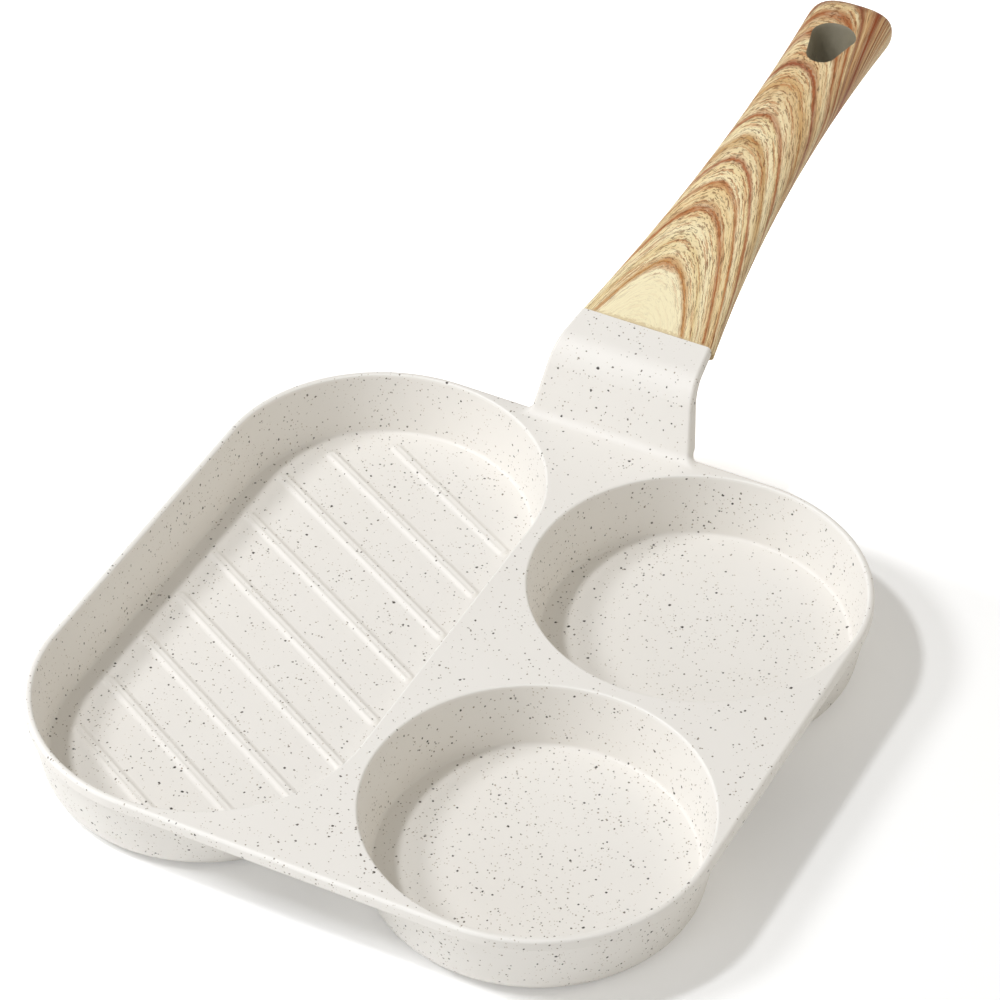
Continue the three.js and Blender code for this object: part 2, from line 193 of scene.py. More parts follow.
def rib_ends(start):
    """How far a rib runs each way from its start on the grill's middle line, inside the floor's outline."""
    reach = []
    for x, y in grill_ends:
        away = start - Vector((x, y, well_floor))
        middle = -away.dot(along)
        spare = floor_reach ** 2 - away.length_squared + middle ** 2
        if spare > 0:
            reach += [middle - math.sqrt(spare), middle + math.sqrt(spare)]
    for side in (-floor_reach, floor_reach):
        step = (grill_middle.x + side - start.x) / along.x
        if abs(start.y + step * along.y - pan_y) <= well_pitch / 2:
            reach.append(step)
    return (min(reach), max(reach)) if reach else (0, 0)


for count in range(-ribs_each_way, ribs_each_way + 1):
    start = grill_middle + across * (count * rib_spacing + rib_shift)
    near, far = rib_ends(start)
    if far - near < shortest_rib:
        continue
    bpy.ops.mesh.select_all(action="DESELECT")
    end = start + along * near
    bpy.ops.mesh.primitive_circle_add(vertices=32, radius=rib_half_width, fill_type="NGON", location=end)
    casting_mesh = bmesh.from_edit_mesh(pan_casting.data)
    far_half = {v.index for v in casting_mesh.verts if v.select and (v.co - end).dot(along) > 0}
    pick(pan_casting, lambda v: v.index in far_half)
    bpy.ops.transform.translate(value=along * (far - near))
    bpy.ops.mesh.select_linked()
    for inwards, rise in rib_insets:
        bpy.ops.mesh.inset(thickness=inwards * MM, depth=rise * MM)

for height in (deck_top, underside, 0, well_floor):
    pick(pan_casting, lambda v: v.is_boundary and abs(v.co.z - height) < weld)
    bpy.ops.mesh.fill(use_beauty=False)
bpy.ops.mesh.select_all(action="SELECT")
bpy.ops.mesh.normals_make_consistent(inside=False)
bpy.ops.object.mode_set(mode="OBJECT")

# The neck is a flat strap: it flares into the deck's rear edge, climbs, bends back and ends square to
# the handle. A tapered tang runs on from it inside the handle.

neck_lean = math.radians(71)
neck_rise = 21.5 * MM
neck_bend = 11.6 * MM
neck_bend_steps = 16
neck_reach = 16 * MM
neck_setback = 2.6 * MM
neck_foot_width, neck_end_width = 50.6 * MM, 41.4 * MM
neck_foot_thickness, neck_end_thickness = 4.4 * MM, 4 * MM
neck_edge_round = 1.2 * MM
neck_foot_fillet = 2.2 * MM
foot_flare = 3
handle_slope = math.radians(10.2)


def ahead(place, slope, distance):
    """A (y, z) place moved along a slope."""
    return Vector((place.x + distance * math.cos(slope), place.y + distance * math.sin(slope)))


def above(place, slope, distance):
    """A (y, z) place moved square to a slope."""
    return ahead(place, slope + math.pi / 2, distance)


def strap_section(top, slope, width, thickness):
    """A round-cornered section square to the neck's run, hung below a place on its upper face."""
    points = []
    for side, low, quarter in ((1, 0, 0), (-1, 0, 1), (-1, 1, 2), (1, 1, 3)):
        x = side * (width / 2 - neck_edge_round)
        depth = thickness - neck_edge_round if low else neck_edge_round
        for px, pz in arc(x, -depth, neck_edge_round, 90 * quarter, 90 * quarter + 90, steps=6):
            place = above(top, slope, pz)
            points.append((px, place.x, place.y))
    return points


def skin(sections):
    """A sheet laid through closed sections one after another, welded at its seam, closed at both ends."""
    columns, rows = len(sections[0]), len(sections) - 1
    bpy.ops.mesh.primitive_grid_add(size=1, x_subdivisions=columns, y_subdivisions=rows)
    sheet = bmesh.from_edit_mesh(bpy.context.object.data)
    for v in sheet.verts:
        column, row = round((v.co.x + 0.5) * columns), round((v.co.y + 0.5) * rows)
        v.co = sections[row][column % columns]
    bmesh.update_edit_mesh(bpy.context.object.data)
    bpy.ops.mesh.remove_doubles(threshold=weld / 10)
    bpy.ops.mesh.select_all(action="SELECT")
    bpy.ops.mesh.fill_holes(sides=0)
    bpy.ops.mesh.normals_make_consistent(inside=False)
    bpy.ops.object.mode_set(mode="OBJECT")


def mix(a, b, share):
    """A value between two others."""
    return a + (b - a) * share


def combine(piece, tool, how):
    """Joins a tool to a piece or cuts it away, and takes the tool out of the scene."""
    bpy.ops.object.select_all(action="DESELECT")
    bpy.context.view_layer.objects.active = piece
    piece.select_set(True)
    cut = piece.modifiers.new("combine", "BOOLEAN")
    cut.operation, cut.object, cut.solver = how, tool, "MANIFOLD"
    cut.material_mode = "TRANSFER"
    bpy.ops.object.modifier_apply(modifier=cut.name)
    bpy.data.objects.remove(tool)


upright = math.pi / 2
neck_foot = Vector((pan_y + well_pitch / 2 + deck_edge - neck_setback, deck_top))
neck_corner = neck_foot + Vector((neck_rise / math.tan(neck_lean), neck_rise))
neck_end = ahead(neck_corner, handle_slope, neck_reach)

# From inside the deck up through the foot's flare
root = Vector((neck_foot.x - neck_foot_fillet, underside + deck_upper_round))
root_width = neck_foot_width + foot_flare * neck_foot_fillet
root_thickness = neck_setback + neck_foot_fillet - deck_upper_round
neck_sections = [strap_section(root, upright, root_width, root_thickness)]
for share in (0, 0.06, 0.15, 0.27, 0.42, 0.6, 0.8, 1):
    flare = neck_foot_fillet * (1 - math.sqrt(1 - (1 - share) ** 2))
    face = ahead(neck_foot, neck_lean, share * neck_foot_fillet / math.sin(neck_lean))
    top = above(face, upright, flare)
    thickness = flare + mix(neck_setback - deck_upper_round, neck_foot_thickness / math.sin(neck_lean), share)
    neck_sections.append(strap_section(top, upright, neck_foot_width + foot_flare * flare, thickness))

# Round the bend and on to the handle
turn = neck_lean - handle_slope
bend_start = ahead(neck_corner, neck_lean, -neck_bend * math.tan(turn / 2))
bend_centre = above(bend_start, neck_lean, -neck_bend)
bend_slopes = [neck_lean - turn * i / neck_bend_steps for i in range(neck_bend_steps + 1)]
stations = [(above(bend_centre, slope, neck_bend), slope) for slope in bend_slopes]
stations.append((neck_end, handle_slope))
places = [neck_foot] + [place for place, slope in stations]
runs = [(b - a).length for a, b in zip(places, places[1:])]
for i, (place, slope) in enumerate(stations):
    share = sum(runs[:i + 1]) / sum(runs)
    width = mix(neck_foot_width, neck_end_width, share)
    thickness = mix(neck_foot_thickness, neck_end_thickness, share)
    neck_sections.append(strap_section(place, slope, width, thickness))
neck = new_piece("neck")
skin(neck_sections)
combine(pan_casting, neck, "UNION")

fit_gap = 0.3 * MM
tang_drop = 2.6 * MM
tang_slope = math.radians(9.24)
tang_thickness = 2.6 * MM
# Each station of the blade: how far from the neck's end, and its width
tang_stations = [(-5 * MM, 26 * MM), (0, 26 * MM), (70 * MM, 14 * MM)]
tang_start = above(ahead(neck_end, handle_slope, fit_gap), handle_slope, -tang_drop)


def tang_blade(name, spare):
    """The tapered blade inside the handle, or with some spare room the socket for it."""
    sections = []
    for distance, width in tang_stations:
        top = above(ahead(tang_start, tang_slope, distance), tang_slope, tang_thickness / 2 + spare)
        sections.append(strap_section(top, tang_slope, width + 2 * spare, tang_thickness + 2 * spare))
    blade = new_piece(name)
    skin(sections)
    return blade


combine(pan_casting, tang_blade("tang", 0), "UNION")

smooth_corner = math.radians(40)
bpy.ops.object.shade_smooth_by_angle(angle=smooth_corner)
even = pan_casting.modifiers.new("even shading", "WEIGHTED_NORMAL")
even.keep_sharp = True
bpy.ops.object.modifier_apply(modifier=even.name)


def linear(code):
    """An sRGB hex colour as the linear values that Blender mixes."""
    values = [int(code[i:i + 2], 16) / 255 for i in (1, 3, 5)]
    return [v / 12.92 if v <= 0.04045 else ((v + 0.055) / 1.055) ** 2.4 for v in values] + [1]


def node(tree, kind, inputs, **settings):
    """Adds a node, sets its options, and sets or links its inputs by name or number."""
    made = tree.nodes.new("ShaderNode" + kind)
    for name, value in settings.items():
        setattr(made, name, value)
    for key, value in inputs.items():
        if isinstance(value, bpy.types.NodeSocket):
            tree.links.new(value, made.inputs[key])
        else:
            made.inputs[key].default_value = value
    return made.outputs


def new_material(name):
    """A node material with an empty tree."""
    material = bpy.data.materials.new(name)
    material.use_nodes = True
    material.node_tree.nodes.clear()
    return material, material.node_tree


# Speckled ceramic coat: a satin warm white, very slightly uneven, strewn with dark brown and grey
# specks of many sizes that come in loose clusters. Its lips and rims are painted paler: a painted highlight
# on their roundings, with a little wear.
speckled_coat, tree = new_material("speckled ceramic coat")
cloud_size, cluster_size, ragged_size, peel_size = 40 * MM, 9 * MM, 0.8 * MM, 1.2 * MM
coords = node(tree, "TexCoord", {})["Object"]
cloud = node(tree, "TexNoise", {"Vector": coords, "Scale": 1 / cloud_size, "Detail": 2})["Fac"]
coat_colour = node(tree, "Mix", {0: cloud, 6: linear("#e8e4dd"), 7: linear("#ece9e3")}, data_type="RGBA")[2]

# Painted highlight, with a little wear, on the roundings at the deck's level: near its top, not above it, and
# not on the flat
level = node(tree, "SeparateXYZ", {0: coords})[2]
normal = node(tree, "NewGeometry", {})["Normal"]
tilt = node(tree, "SeparateXYZ", {0: normal})[2]
rim_highlight_and_wear = 0.5
for value, none_at, full_at in ((level, deck_top - 1.2 * MM, deck_top - 0.8 * MM), (tilt, 0.97, 0.85),
                                (level, deck_top + 0.3 * MM, deck_top + 0.1 * MM)):
    part = node(tree, "MapRange", {"Value": value, "From Min": none_at, "From Max": full_at})[0]
    rim_highlight_and_wear = node(tree, "Math", {0: part, 1: rim_highlight_and_wear}, operation="MULTIPLY")[0]
# The paler colour on the roundings is a painted highlight along the lips and rims, with a little wear
coat_colour = node(tree, "Mix", {0: rim_highlight_and_wear, 6: coat_colour, 7: linear("#f4f2ed")}, data_type="RGBA")[2]

# The specks' edges are ragged, and there are more of them in the wells than on the deck and neck
ragged_by = 0.55 * MM
ragged = node(tree, "TexNoise", {"Vector": coords, "Scale": 1 / ragged_size, "Detail": 1})["Color"]
ragged = node(tree, "VectorMath", {0: ragged, "Scale": ragged_by}, operation="SCALE")[0]
ragged = node(tree, "VectorMath", {0: coords, 1: ragged}, operation="ADD")[0]
cluster = node(tree, "TexNoise", {"Vector": coords, "Scale": 1 / cluster_size, "Detail": 2})["Fac"]
cluster = node(tree, "MapRange", {"Value": cluster, "From Min": 0.35, "From Max": 0.65,
                                  "To Min": 0.35, "To Max": 1.5})[0]
thicker = node(tree, "MapRange", {"Value": level, "From Min": deck_top - 3 * MM,
                                  "From Max": deck_top - 1 * MM, "To Min": 1, "To Max": 0.7})[0]
cluster = node(tree, "Math", {0: cluster, 1: thicker}, operation="MULTIPLY")[0]

# Each sort of speck: spacing, smallest and largest radius in millimetres, the share of places that hold
# one, and the two colours that it lies between
specks = [(1.05, 0.16, 0.26, 0.5, "#cdc5b8", "#bdb3a4"), (1.55, 0.19, 0.33, 0.5, "#aa9e8e", "#897e6f"),
          (1.95, 0.21, 0.37, 0.52, "#857c70", "#635a51"), (2.6, 0.24, 0.43, 0.52, "#443d35", "#686056"),
          (3.5, 0.3, 0.54, 0.45, "#2c2620", "#423a32")]
solid_share = 0.6
for spacing, small, large, share, one, other in specks:
    cells = node(tree, "TexVoronoi", {"Vector": ragged, "Scale": 1 / (spacing * MM)})
    chance = node(tree, "SeparateColor", {0: cells["Color"]})
    size = node(tree, "MapRange", {"Value": chance[0], "To Min": small / spacing,
                                   "To Max": large / spacing})[0]
    inner = node(tree, "Math", {0: size, 1: solid_share}, operation="MULTIPLY")[0]
    spot = node(tree, "MapRange", {"Value": cells["Distance"], "From Min": size, "From Max": inner})[0]
    limit = node(tree, "Math", {0: cluster, 1: share}, operation="MULTIPLY")[0]
    there = node(tree, "Math", {0: chance[1], 1: limit}, operation="LESS_THAN")[0]
    spot = node(tree, "Math", {0: spot, 1: there}, operation="MULTIPLY")[0]
    tone = node(tree, "Mix", {0: chance[2], 6: linear(one), 7: linear(other)}, data_type="RGBA")[2]
    coat_colour = node(tree, "Mix", {0: spot, 6: coat_colour, 7: tone}, data_type="RGBA")[2]

peel = node(tree, "TexNoise", {"Vector": coords, "Scale": 1 / peel_size, "Detail": 2})["Fac"]
sheen = node(tree, "MapRange", {"Value": peel, "To Min": 0.48, "To Max": 0.62})[0]
relief = node(tree, "Bump", {"Height": peel, "Strength": 0.12, "Distance": 0.05 * MM})[0]
shade = node(tree, "BsdfPrincipled", {"Base Color": coat_colour, "Roughness": sheen, "Normal": relief,
                                      "IOR": 1.5})[0]
node(tree, "OutputMaterial", {"Surface": shade})
pan_casting.data.materials.clear()
pan_casting.data.materials.append(speckled_coat)

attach(pan_casting, "root")
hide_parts("pan_body")

# Handle: moulded phenolic plastic with a wood-grain film wrapped over it, pushed onto the tang. It is
# wide and flat at the neck, waisted for the hand, rounder at the tail, with a wedge-shaped hang hole.

handle_length = 153 * MM
handle_tail_slope = math.radians(5.4)
front_width, middle_width, tail_width = 42.8 * MM, 26 * MM, 28.4 * MM
front_thickness, middle_thickness, tail_thickness = 7.2 * MM, 11.6 * MM, 13.2 * MM
front_squareness, tail_squareness = 3.2, 2.6
tail_round = 11.5 * MM
tail_fullness, tail_flatness = 3.2, 4
handle_proud = 0.2 * MM
front_push = 0.25 * MM
handle_start = above(ahead(neck_end, handle_slope, fit_gap), handle_slope, handle_proud - front_thickness / 2)
handle_bend = handle_length / (handle_slope - handle_tail_slope)
ring_points, straight_rings, tail_rings = 64, 40, 16


def slope_at(distance):
    """The handle's slope at a distance from its front."""
    return handle_slope - distance / handle_bend


def middle_at(distance):
    """The handle's middle line, one shallow arc."""
    slope = slope_at(distance)
    return handle_start + handle_bend * Vector((math.sin(handle_slope) - math.sin(slope),
                                                math.cos(slope) - math.cos(handle_slope)))


def between(front, middle, tail, share):
    """A size that runs smoothly from the handle's front through its middle to its tail."""
    return (front * (1 - share) * (1 - 2 * share) + middle * 4 * share * (1 - share)
            + tail * share * (2 * share - 1))


def handle_section(distance):
    """An oval section, squarer at the neck than at the tail, drawn in over the rounded tail."""
    share = distance / handle_length
    into = max(0, 1 - (handle_length - distance) / tail_round)
    width = between(front_width, middle_width, tail_width, share)
    width *= (1 - into ** tail_fullness) ** (1 / tail_fullness)
    thickness = between(front_thickness, middle_thickness, tail_thickness, share)
    thickness *= math.sqrt(1 - into ** tail_flatness)
    power = 2 / mix(front_squareness, tail_squareness, share)
    points = []
    for i in range(ring_points):
        turn = 2 * math.pi * i / ring_points - math.pi
        x = math.copysign(abs(math.sin(turn)) ** power * width / 2, math.sin(turn))
        z = math.copysign(abs(math.cos(turn)) ** power * thickness / 2, math.cos(turn))
        place = above(middle_at(distance), slope_at(distance), z)
        points.append(Vector((x, place.x, place.y)))
    return points


straight = handle_length - tail_round
almost_end = 0.999
distances = [-front_push] + [straight * i / straight_rings for i in range(1, straight_rings)]
distances += [straight + tail_round * math.sin(math.radians(90 * i / tail_rings)) for i in range(tail_rings)]
distances.append(straight + tail_round * almost_end)
sections = [handle_section(distance) for distance in distances]

handle = new_piece("handle")
skin(sections)

# The film's own coordinates: millimetres round from the handle's upper middle line, and along it.
film_rounds = []
for section in sections:
    steps = [(b - a).length for a, b in zip(section, section[1:] + section[:1])]
    film_rounds.append([sum(steps[:i]) - sum(steps) / 2 for i in range(ring_points + 1)])
film_map = handle.data.uv_layers[0]
film_map.name = "film"
for corner in film_map.data:
    column, row = round(corner.uv.x * ring_points), round(corner.uv.y * (len(sections) - 1))
    corner.uv = film_rounds[row][column] / MM, distances[row] / MM

# Wood-grain film: a pale yellow print with reddish-brown cathedral arches that point to the tail, their
# legs running down to the neck, over fine streaks and short dark pores. Satin, with a faint tooth.
wood_film, tree = new_material("wood-grain film")
film = node(tree, "UVMap", {}, uv_map="film")[0]
place = node(tree, "SeparateXYZ", {0: film})

# The arches' legs fall away on both sides of a line left of the middle, the left ones faster. Towards
# the tail the points grow rounder. All in millimetres.
point_line, left_haste = 4.3, 1.21
pointed_power, pointed_fall = 1.86, 0.155
rounded_power, rounded_fall = 3.4, 0.0038
rounded_from, rounded_to = 95, 140
off_line = node(tree, "Math", {0: place[0], 1: point_line}, operation="ADD")[0]
left_side = node(tree, "Math", {0: off_line, 1: -left_haste}, operation="MULTIPLY")[0]
spread = node(tree, "Math", {0: off_line, 1: left_side}, operation="MAXIMUM")[0]
pointed = node(tree, "Math", {0: spread, 1: pointed_power}, operation="POWER")[0]
pointed = node(tree, "Math", {0: pointed, 1: pointed_fall}, operation="MULTIPLY")[0]
rounded = node(tree, "Math", {0: spread, 1: rounded_power}, operation="POWER")[0]
rounded = node(tree, "Math", {0: rounded, 1: rounded_fall}, operation="MULTIPLY")[0]
near_tail = node(tree, "MapRange", {"Value": place[1], "From Min": rounded_from, "From Max": rounded_to},
                 interpolation_type="SMOOTHSTEP")[0]
fall = node(tree, "Mix", {0: near_tail, 2: pointed, 3: rounded})[0]
arch = node(tree, "Math", {0: fall, 1: place[1]}, operation="ADD")[0]

# Slow wander and fine feathering of the arches: size across, how much longer it is along the handle,
# and how far it moves them, in millimetres
for size, longer, amount in ((6.25, 2.86, 2.2), (0.91, 2, 1.8)):
    squeeze = (1 / size, 1 / (size * longer), 0)
    squeezed = node(tree, "VectorMath", {0: film, 1: squeeze}, operation="MULTIPLY")[0]
    wander = node(tree, "TexNoise", {"Vector": squeezed, "Scale": 1, "Detail": 2})["Fac"]
    wander = node(tree, "Math", {0: wander, 1: 0.5}, operation="SUBTRACT")[0]
    arch = node(tree, "Math", {0: wander, 1: amount, 2: arch}, operation="MULTIPLY_ADD")[0]

# The print's tones by the height of an arch's point above the handle's front, in millimetres
film_length = 170
tones = [(0, "#f2e7c0"), (22, "#f5e9c2"), (25.2, "#bd8546"), (29, "#f2e0b2"), (34.5, "#e4cd98"),
         (40, "#f5e7bd"), (46.5, "#ecd3a0"), (49, "#aa5f27"), (53.5, "#eed7a4"), (58.5, "#e8ca94"),
         (60, "#b16c33"), (62.5, "#f7e6ba"), (69, "#ebd39e"), (70.7, "#9f4b1b"), (73.5, "#f3e1b3"),
         (80.5, "#c49a60"), (84, "#f5e5bb"), (90, "#ebd5a2"), (91.7, "#a65926"), (95, "#f2e0b3"),
         (107.5, "#cfa76f"), (114, "#ebd3a1"), (116.5, "#8f3710"), (120.5, "#e4c592"), (127.5, "#f0deb0"),
         (132, "#a55a24"), (136.5, "#e7cd9a"), (142.2, "#a35826"), (146.5, "#ebd29e"), (151, "#86390f"),
         (156, "#d8b17c"), (168, "#8e4014")]
folded = node(tree, "Math", {0: arch, 1: film_length}, operation="PINGPONG")[0]
folded = node(tree, "Math", {0: folded, 1: film_length}, operation="DIVIDE")[0]
print_colour = node(tree, "ValToRGB", {0: folded})[0]
tone_stops = print_colour.node.color_ramp.elements
while len(tone_stops) < len(tones):
    tone_stops.new(0.5)
for stop, (height, colour) in zip(tone_stops, tones):
    stop.position, stop.color = height / film_length, linear(colour)

# Streaks, brown lines and pores follow the arches, fainter below the lowest arch. Each: sizes across and
# along them in millimetres, the noise where it begins and where it is full, its strength and its colour.
faint_to, full_from, faintest = 16, 27, 0.14
flow = node(tree, "CombineXYZ", {0: arch, 1: place[0]})[0]
fade = node(tree, "MapRange", {"Value": arch, "From Min": faint_to, "From Max": full_from,
                               "To Min": faintest})[0]
streaks = [(1.6, 7, 0.5, 0.68, 0.35, "#f8eec8"), (1.1, 9, 0.54, 0.61, 0.6, "#b5682e"),
           (0.8, 2.6, 0.56, 0.61, 0.66, "#7c4c20"), (0.55, 1.7, 0.59, 0.63, 0.7, "#5e3917")]
for wide, long, begins, full, strength, colour in streaks:
    squeezed = node(tree, "VectorMath", {0: flow, 1: (1 / wide, 1 / long, 0)}, operation="MULTIPLY")[0]
    streak = node(tree, "TexNoise", {"Vector": squeezed, "Scale": 1, "Detail": 2})["Fac"]
    streak = node(tree, "MapRange", {"Value": streak, "From Min": begins, "From Max": full})[0]
    streak = node(tree, "Math", {0: streak, 1: fade}, operation="MULTIPLY")[0]
    amount = node(tree, "Math", {0: streak, 1: strength}, operation="MULTIPLY")[0]
    print_colour = node(tree, "Mix", {0: amount, 6: print_colour, 7: linear(colour)}, data_type="RGBA")[2]

# The film's front edge is a little frayed and dirty, a millimetre or so deep
fray_scale, fray_depth = 0.9, 4.5
clean_from, dirty_to, dirt = -1.2, -1.9, 0.6
fray = node(tree, "TexNoise", {"Vector": film, "Scale": fray_scale, "Detail": 2})["Fac"]
rubbed = node(tree, "Math", {0: fray, 1: -fray_depth, 2: place[1]}, operation="MULTIPLY_ADD")[0]
rubbed = node(tree, "MapRange", {"Value": rubbed, "From Min": clean_from, "From Max": dirty_to,
                                 "To Max": dirt})[0]
print_colour = node(tree, "Mix", {0: rubbed, 6: print_colour, 7: linear("#cdb68c")}, data_type="RGBA")[2]
sheen = node(tree, "MapRange", {"Value": streak, "To Min": 0.44, "To Max": 0.56})[0]
tooth = node(tree, "Bump", {"Height": streak, "Strength": 0.1, "Distance": -0.04 * MM})[0]
shade = node(tree, "BsdfPrincipled", {"Base Color": print_colour, "Roughness": sheen, "Normal": tooth,
                                      "IOR": 1.5})[0]
node(tree, "OutputMaterial", {"Surface": shade})
handle.data.materials.append(wood_film)

# Grey phenolic moulding: the handle's own plastic, bare where the film stops at its holes. Dull olive grey.
phenolic, tree = new_material("grey phenolic moulding")
mottle_size = 3 * MM
coords = node(tree, "TexCoord", {})["Object"]
mottle = node(tree, "TexNoise", {"Vector": coords, "Scale": 1 / mottle_size, "Detail": 3})["Fac"]
tone = node(tree, "Mix", {0: mottle, 6: linear("#77715f"), 7: linear("#8d8571")}, data_type="RGBA")[2]
sheen = node(tree, "MapRange", {"Value": mottle, "To Min": 0.42, "To Max": 0.6})[0]
grit = node(tree, "Bump", {"Height": mottle, "Strength": 0.1, "Distance": 0.1 * MM})[0]
shade = node(tree, "BsdfPrincipled", {"Base Color": tone, "Roughness": sheen, "Normal": grit, "IOR": 1.6})[0]
node(tree, "OutputMaterial", {"Surface": shade})

# The hang hole is a rounded wedge, wider towards the tail, with its mouths eased outwards. Each level:
# height over the handle's middle line, room added all round, and shift to the tail, in millimetres.
hole_wide, hole_narrow, hole_spread = 6.8 * MM, 4.3 * MM, 6.8 * MM
hole_bluntness, hole_ease = 0.72, 1.9 * MM
tail_land = 15 * MM
hole_at = handle_length - tail_land - hole_wide - hole_spread
hole_levels = [(-9, -1.2, -4), (-6.6, -2, -4), (-5.8, -2.4, -4), (1.6, -0.9, -0.8),
               (5, -0.2, 0), (5.7, 0.1, 0), (6.4, 0.6, 0), (9, 3, 0)]


def wedge(spare):
    """The wedge's outline about its narrow end, with +Y towards the tail."""
    lean = math.degrees(math.asin((hole_wide - hole_narrow) / hole_spread))
    blunt = [(x, hole_spread + hole_ease + (y - hole_spread) * hole_bluntness)
             for x, y in arc(0, hole_spread, hole_wide + spare, -lean, 180 + lean, steps=24)]
    return blunt + arc(0, 0, hole_narrow + spare, 180 + lean, 360 - lean, steps=16)


hole_sections = []
middle, slope = middle_at(hole_at), slope_at(hole_at)
for height, spare, shift in hole_levels:
    level_middle = above(ahead(middle, slope, shift * MM), slope, height * MM)
    places = [(x, ahead(level_middle, slope, y)) for x, y in wedge(spare * MM)]
    hole_sections.append([(x, place.x, place.y) for x, place in places])
hole = new_piece("hang_hole")
skin(hole_sections)
hole.data.materials.append(phenolic)
combine(handle, hole, "DIFFERENCE")

socket = tang_blade("socket", fit_gap)
socket.data.materials.append(phenolic)
combine(handle, socket, "DIFFERENCE")

# The screw goes up through the handle's underside into the tang, its head sunk in a counterbore.
screw_distance = 60 * MM
screw_place = ahead(tang_start, tang_slope, screw_distance)
screw_middle = Vector((0, screw_place.x, screw_place.y))
screw_way = Vector((0, -math.sin(tang_slope), math.cos(tang_slope)))


def turned(name, profile, steps=48):
    """A piece turned about the screw's line from (radius, height over the tang's middle) in millimetres."""
    piece = new_piece(name)
    draw([screw_middle + screw_way * height * MM + Vector((radius * MM, 0, 0)) for radius, height in profile])
    bpy.ops.mesh.spin(steps=steps, angle=2 * math.pi, center=screw_middle, axis=screw_way)
    bpy.ops.mesh.select_all(action="SELECT")
    bpy.ops.mesh.remove_doubles(threshold=weld)
    bpy.ops.mesh.fill_holes(sides=0)
    bpy.ops.mesh.normals_make_consistent(inside=False)
    bpy.ops.object.mode_set(mode="OBJECT")
    return piece


bore_radius, shank_hole_radius = 4, 2.3
bore_mouth, bore_seat = -9, -2.64
counterbore = turned("counterbore", [(0, bore_mouth), (bore_radius, bore_mouth), (bore_radius, bore_seat),
                                     (shank_hole_radius, bore_seat), (shank_hole_radius, 0), (0, 0)])
counterbore.data.materials.append(phenolic)
combine(handle, counterbore, "DIFFERENCE")
bpy.ops.object.shade_smooth_by_angle(angle=smooth_corner)

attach(handle, "root")
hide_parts("handle_grip")

# Screw: a short slotted cheese-head machine screw, turned steel with a dull zinc plate. It passes through
# the washer and the handle's underside into the tang and holds the handle on.

head_radius, shank_radius = 3.7, 2
head_face, head_seat = -6.04, -4.04
shank_point, shank_chamfer = 1.3, 0.4
head_chamfer = 0.2
# The head's rounded crown: radius and height over its face
head_crown = [(0, 0), (2.7, 0), (3.2, 0.09), (3.55, 0.34), (head_radius, 0.74)]
screw_profile = [(radius, head_face + rise) for radius, rise in head_crown]
screw_profile += [(head_radius, head_seat - head_chamfer), (head_radius - head_chamfer, head_seat),
                  (shank_radius, head_seat), (shank_radius, shank_point - shank_chamfer),
                  (shank_radius - shank_chamfer, shank_point), (0, shank_point)]
screw = turned("tang_screw", screw_profile)

slot_width, slot_floor = 1.2 * MM, -4.94 * MM
slot_length, slot_height = 9 * MM, 2 * MM
slot_middle = screw_middle + screw_way * (slot_floor - slot_height / 2)
slot = new_piece("slot")
bpy.ops.mesh.primitive_cube_add(size=1, location=slot_middle, rotation=(tang_slope, 0, 0),
                                scale=(slot_length, slot_width, slot_height))
bpy.ops.object.mode_set(mode="OBJECT")
combine(screw, slot, "DIFFERENCE")
bpy.ops.object.shade_smooth_by_angle(angle=math.radians(30))

# Zinc plate: dull blue-grey metal with cloudy patches and fine turning lines, rubbed brighter on its edges.
# The lines are drawn about twice as coarse as real ones, to show.
zinc, tree = new_material("zinc-plated steel")
patch_size = 2.5 * MM
line_length, line_width = 2 * MM, 2 / 9 * MM
coords = node(tree, "TexCoord", {})["Object"]
patch = node(tree, "TexNoise", {"Vector": coords, "Scale": 1 / patch_size, "Detail": 3})["Fac"]
plate = node(tree, "Mix", {0: patch, 6: linear("#a3a8b0"), 7: linear("#c3c4c2")}, data_type="RGBA")[2]
normal = node(tree, "NewGeometry", {})["Normal"]
facing = node(tree, "VectorMath", {0: normal, 1: screw_way}, operation="DOT_PRODUCT")["Value"]
facing = node(tree, "Math", {0: facing}, operation="ABSOLUTE")[0]
edge = node(tree, "MapRange", {"Value": facing, "From Min": 0.96, "From Max": 0.8})[0]
flank = node(tree, "MapRange", {"Value": facing, "From Min": 0.15, "From Max": 0.35})[0]
edge = node(tree, "Math", {0: edge, 1: flank}, operation="MULTIPLY")[0]
plate = node(tree, "Mix", {0: edge, 6: plate, 7: linear("#d6d6d3")}, data_type="RGBA")[2]
drawn_out = (1 / line_length, 1 / line_width, 1 / line_width)
drawn_out = node(tree, "VectorMath", {0: coords, 1: drawn_out}, operation="MULTIPLY")[0]
lines = node(tree, "TexNoise", {"Vector": drawn_out, "Scale": 1, "Detail": 2})["Fac"]
dull = node(tree, "MapRange", {"Value": lines, "To Min": 0.26, "To Max": 0.48})[0]
marks = node(tree, "Bump", {"Height": lines, "Strength": 0.15, "Distance": 0.02 * MM})[0]
shade = node(tree, "BsdfPrincipled", {"Base Color": plate, "Roughness": dull, "Normal": marks,
                                      "Metallic": 1})[0]
node(tree, "OutputMaterial", {"Surface": shade})
screw.data.materials.append(zinc)

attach(screw, "root")
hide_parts("handle_screw")

# Washer: a split spring washer wound from square steel wire and zinc-plated, pressed flat under the
# screw's head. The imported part's own shape is used.

washer = bpy.data.objects["spring_washer"]
washer.data.materials.clear()
washer.data.materials.append(zinc)

# Studio: the pan stands on a roll of white paper in a bright room. Two lamps on the left cast its shadow,
# one high for the wells and one low for the paper, and two big softboxes fill the front and the right.
# The camera looks down from the front, a little from the egg wells' side, through a long lens.

paper_width = 8
paper_drop = 0.05 * MM
bpy.ops.object.select_all(action="DESELECT")
bpy.ops.mesh.primitive_plane_add(size=paper_width, location=(0, 0, -paper_drop))
floor = bpy.context.object
floor.name = "studio_floor"
